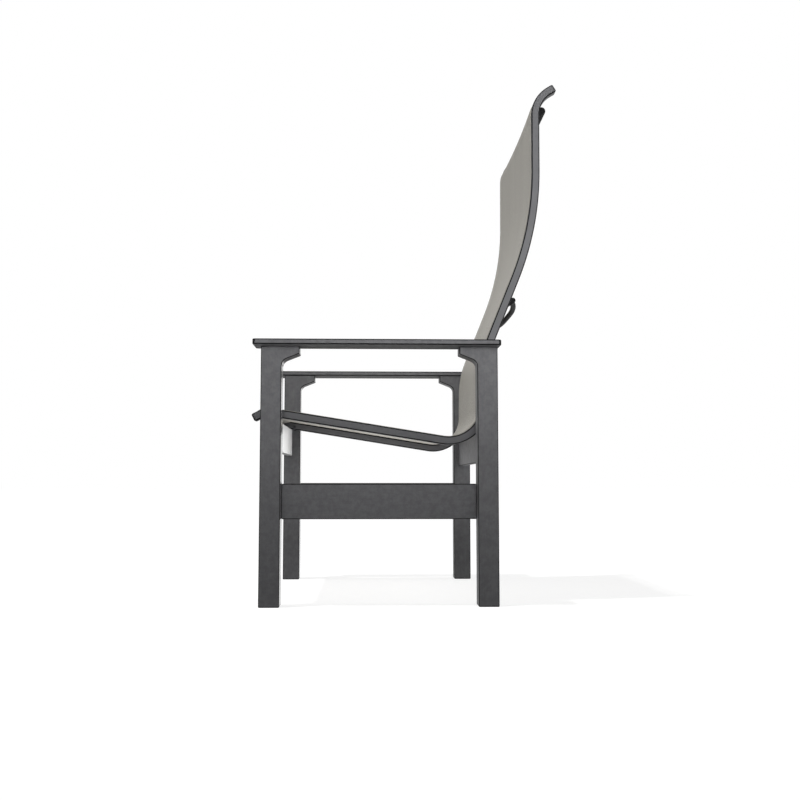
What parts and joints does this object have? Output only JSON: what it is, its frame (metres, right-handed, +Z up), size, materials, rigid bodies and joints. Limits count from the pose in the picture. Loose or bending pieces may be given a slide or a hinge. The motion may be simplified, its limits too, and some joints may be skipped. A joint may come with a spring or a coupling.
{
  "type": "sling patio chair",
  "caption": "High-back outdoor sling chair: woven fabric stretched between bent aluminium side rails, bolted into a charcoal polymer-board frame with flat arms.",
  "frame": {"origin": "on the floor, under the middle of the overall width and the overall depth", "axes": "+Z up, the sitter faces -Y, +X is the sitter's left"},
  "size_m": [0.701, 0.6882, 1.1779],
  "materials": {
    "board": "solid-colour polymer board, charcoal grey, faint brushed grain",
    "rail": "fine-texture grey powder coat",
    "tube": "dark powder coat",
    "sling": "taupe woven sling mesh",
    "trim": "black moulded plastic",
    "fastener": "stainless steel"
  },
  "bodies": {
    "root": {"front_leg_left": "board", "front_leg_right": "board", "rear_leg_left": "board", "rear_leg_right": "board", "arm_left": "board", "arm_right": "board", "side_stretcher_left": "board", "side_stretcher_right": "board", "front_apron": "board", "rear_apron": "board", "sling_rail_left": "rail", "sling_rail_right": "rail", "rail_front_cap_left": "trim", "rail_front_cap_right": "trim", "rail_top_cap_left": "trim", "rail_top_cap_right": "trim", "sling": "sling", "sling_spline_left": "trim", "sling_spline_right": "trim", "top_spreader": "tube", "lumbar_spreader": "tube", "top_spreader_plug_left": "trim", "top_spreader_plug_right": "trim", "lumbar_spreader_plug_left": "trim", "lumbar_spreader_plug_right": "trim", "arm_screw_front_left": "fastener", "arm_screw_front_right": "fastener", "apron_screw_front_left": "fastener", "apron_screw_front_right": "fastener", "stretcher_screw_front_lower_left": "fastener", "stretcher_screw_front_lower_right": "fastener", "stretcher_screw_front_upper_left": "fastener", "stretcher_screw_front_upper_right": "fastener", "rail_bolt_front_left": "fastener", "rail_bolt_front_right": "fastener", "rail_spacer_front_left": "trim", "rail_spacer_front_right": "trim", "arm_screw_rear_left": "fastener", "arm_screw_rear_right": "fastener", "apron_screw_rear_left": "fastener", "apron_screw_rear_right": "fastener", "stretcher_screw_rear_lower_left": "fastener", "stretcher_screw_rear_lower_right": "fastener", "stretcher_screw_rear_upper_left": "fastener", "stretcher_screw_rear_upper_right": "fastener", "rail_bolt_rear_left": "fastener", "rail_bolt_rear_right": "fastener", "rail_spacer_rear_left": "trim", "rail_spacer_rear_right": "trim", "top_plug_screw_left": "fastener", "top_plug_screw_right": "fastener", "lumbar_plug_screw_left": "fastener", "lumbar_plug_screw_right": "fastener"}
  },
  "joints": []
}
